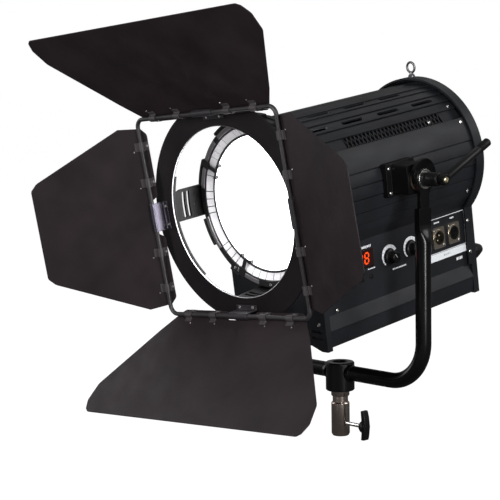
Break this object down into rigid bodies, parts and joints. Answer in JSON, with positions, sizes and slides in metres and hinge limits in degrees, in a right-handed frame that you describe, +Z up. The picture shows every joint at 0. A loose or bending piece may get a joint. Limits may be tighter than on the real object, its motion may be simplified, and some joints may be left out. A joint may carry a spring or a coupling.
{
  "type": "fresnel spotlight",
  "caption": "Studio fresnel spotlight: ribbed tilting head on a tube yoke with a spigot socket, focusing LED engine and rotating barndoors.",
  "frame": {"origin": "centre of the spigot's lower mouth, where the stand's stud goes in", "axes": "+Z up along the spigot and the pan axis, -Y the way the lamp points, +X the side with the control panel"},
  "size_m": [0.5735, 0.6226, 0.6126],
  "materials": {
    "spigot_metal": "satin zinc-plated steel",
    "bright_hardware": "bright nickel plate",
    "black_knob": "matt black moulded plastic",
    "yoke_paint": "gloss black powder coat",
    "fibre": "brown fibre washer",
    "casing_paint": "satin black powder coat",
    "door_paint": "satin black paint",
    "connector_nickel": "satin nickel",
    "lens_glass": "clear glass",
    "display": "dark red display filter",
    "black_plastic": "black moulded plastic",
    "aluminium": "extruded aluminium",
    "led": "yellow phosphor on a ceramic board",
    "board": "green circuit board",
    "steel_rod": "ground steel"
  },
  "bodies": {
    "spigot": {"spigot_adapter": "spigot_metal"},
    "clamp_screw": {"clamp_screw": "bright_hardware"},
    "clamp_handle": {"clamp_handle": "black_knob"},
    "yoke": {"yoke_socket": "yoke_paint", "yoke_arm_right": "yoke_paint", "yoke_arm_left": "yoke_paint", "friction_disc_right": "fibre", "friction_disc_left": "fibre", "lever_washer": "bright_hardware"},
    "head": {"tilt_bracket_right": "casing_paint", "tilt_bracket_left": "casing_paint", "pivot_bolt_right": "steel_rod", "pivot_bolt_left": "steel_rod", "top_cover": "casing_paint", "side_casing_right": "casing_paint", "side_casing_left": "casing_paint", "vent_grille_right": "casing_paint", "vent_grille_left": "casing_paint", "bottom_plate": "casing_paint", "front_plate": "casing_paint", "rear_cover": "casing_paint", "eye_bolt": "casing_paint", "lens_ring": "casing_paint", "fresnel_lens": "lens_glass", "lens_clip_1": "casing_paint", "lens_clip_2": "casing_paint", "lens_clip_3": "casing_paint", "accessory_ear_right": "casing_paint", "accessory_ear_top": "casing_paint", "accessory_ear_left": "casing_paint", "accessory_ear_bottom": "casing_paint", "display_window": "display", "dmx_in": "connector_nickel", "dmx_out": "connector_nickel", "power_inlet": "black_plastic", "guide_rod_right": "steel_rod", "guide_rod_left": "steel_rod", "fan_frame": "black_plastic", "power_supply": "aluminium", "control_board": "board"},
    "tilt_lever_hub": {"tilt_lever_hub": "black_knob", "lever_screw": "bright_hardware"},
    "tilt_lever": {"tilt_lever": "black_knob"},
    "dimmer_knob": {"dimmer_knob": "black_knob"},
    "colour_knob": {"colour_knob": "black_knob"},
    "address_button_up": {"address_button_up": "black_knob"},
    "address_button_down": {"address_button_down": "black_knob"},
    "power_switch": {"power_switch": "black_plastic"},
    "focus_drive": {"focus_knob": "black_knob", "focus_spindle": "steel_rod"},
    "led_carriage": {"heat_sink": "aluminium", "led_array": "led", "spindle_nut": "steel_rod"},
    "fan_rotor": {"fan_rotor": "black_plastic"},
    "door_frame": {"door_ring": "door_paint", "door_rod": "door_paint"},
    "leaf_top": {"leaf_top": "door_paint"},
    "leaf_left": {"leaf_left": "door_paint"},
    "leaf_bottom": {"leaf_bottom": "door_paint"},
    "leaf_right": {"leaf_right": "door_paint"}
  },
  "joints": [
    {"name": "pan", "type": "hinge", "parent": "spigot", "child": "yoke", "pos_m": [0, 0, 0.067], "axis": [0, 0, 1], "range_deg": [-180, 180]},
    {"name": "clamp_advance", "type": "slide", "parent": "spigot", "child": "clamp_screw", "axis": [1, 0, 0], "range_m": [-0.004, 0.006]},
    {"name": "clamp_turn", "type": "hinge", "parent": "clamp_screw", "child": "clamp_handle", "pos_m": [0.046, 0, 0.019], "axis": [1, 0, 0], "range_deg": [-1152, 1728]},
    {"name": "tilt", "type": "hinge", "parent": "yoke", "child": "head", "pos_m": [0, 0, 0.3811], "axis": [1, 0, 0], "range_deg": [-42, 26]},
    {"name": "tilt_lever_turn", "type": "hinge", "parent": "head", "child": "tilt_lever_hub", "pos_m": [0, 0, 0.3811], "axis": [1, 0, 0], "range_deg": [-60, 60]},
    {"name": "tilt_lever_lift", "type": "slide", "parent": "tilt_lever_hub", "child": "tilt_lever", "axis": [1, 0, 0], "range_m": [0, 0.0038], "stiffness_N_per_m": 600, "springref_m": -0.004},
    {"name": "dimmer_turn", "type": "hinge", "parent": "head", "child": "dimmer_knob", "pos_m": [0, 0.01974, 0.26653], "axis": [1, 0, 0], "range_deg": [-150, 150]},
    {"name": "colour_turn", "type": "hinge", "parent": "head", "child": "colour_knob", "pos_m": [0, 0.06609, 0.27446], "axis": [1, 0, 0], "range_deg": [-150, 150]},
    {"name": "button_up_press", "type": "slide", "parent": "head", "child": "address_button_up", "axis": [-1, 0, 0], "range_m": [0, 0.0012], "stiffness_N_per_m": 400, "springref_m": -0.002},
    {"name": "button_down_press", "type": "slide", "parent": "head", "child": "address_button_down", "axis": [-1, 0, 0], "range_m": [0, 0.0012], "stiffness_N_per_m": 400, "springref_m": -0.002},
    {"name": "switch_rock", "type": "hinge", "parent": "head", "child": "power_switch", "pos_m": [0.004, 0.20289, 0.25814], "axis": [1, 0, 0], "range_deg": [0, 12]},
    {"name": "focus_travel", "type": "slide", "parent": "head", "child": "led_carriage", "axis": [0, -0.9903, -0.1392], "range_m": [-0.05, 0.05]},
    {"name": "focus_turn", "type": "hinge", "parent": "head", "child": "focus_drive", "pos_m": [0.064, 0.02185, 0.22563], "axis": [0, -0.9903, -0.1392], "range_deg": [-900, 900]},
    {"name": "fan_spin", "type": "hinge", "parent": "head", "child": "fan_rotor", "pos_m": [0, 0.17455, 0.39654], "axis": [0, -0.9903, -0.1392], "continuous": true},
    {"name": "door_turn", "type": "hinge", "parent": "head", "child": "door_frame", "pos_m": [0, -0.20968, 0.34254], "axis": [0, -0.9903, -0.1392], "range_deg": [-180, 180]},
    {"name": "leaf_top_swing", "type": "hinge", "parent": "door_frame", "child": "leaf_top", "pos_m": [-0.01066, -0.24976, 0.47686], "axis": [0.9971, -0.0107, 0.076], "range_deg": [-55.1, 103.9]},
    {"name": "leaf_left_swing", "type": "hinge", "parent": "door_frame", "child": "leaf_left", "pos_m": [-0.13859, -0.22899, 0.32906], "axis": [-0.0767, -0.1388, 0.9873], "range_deg": [-56.8, 138.2]},
    {"name": "leaf_bottom_swing", "type": "hinge", "parent": "door_frame", "child": "leaf_bottom", "pos_m": [0.01066, -0.21118, 0.20238], "axis": [-0.9971, 0.0107, -0.076], "range_deg": [-65.8, 86.2]},
    {"name": "leaf_right_swing", "type": "hinge", "parent": "door_frame", "child": "leaf_right", "pos_m": [0.13859, -0.23195, 0.35018], "axis": [0.0767, 0.1388, -0.9873], "range_deg": [-36, 155.5]}
  ],
  "couplings": [
    {"joint": "clamp_turn", "follows": "clamp_advance", "rad_per_m": 5026.5},
    {"joint": "focus_turn", "follows": "focus_travel", "rad_per_m": 314.16}
  ]
}
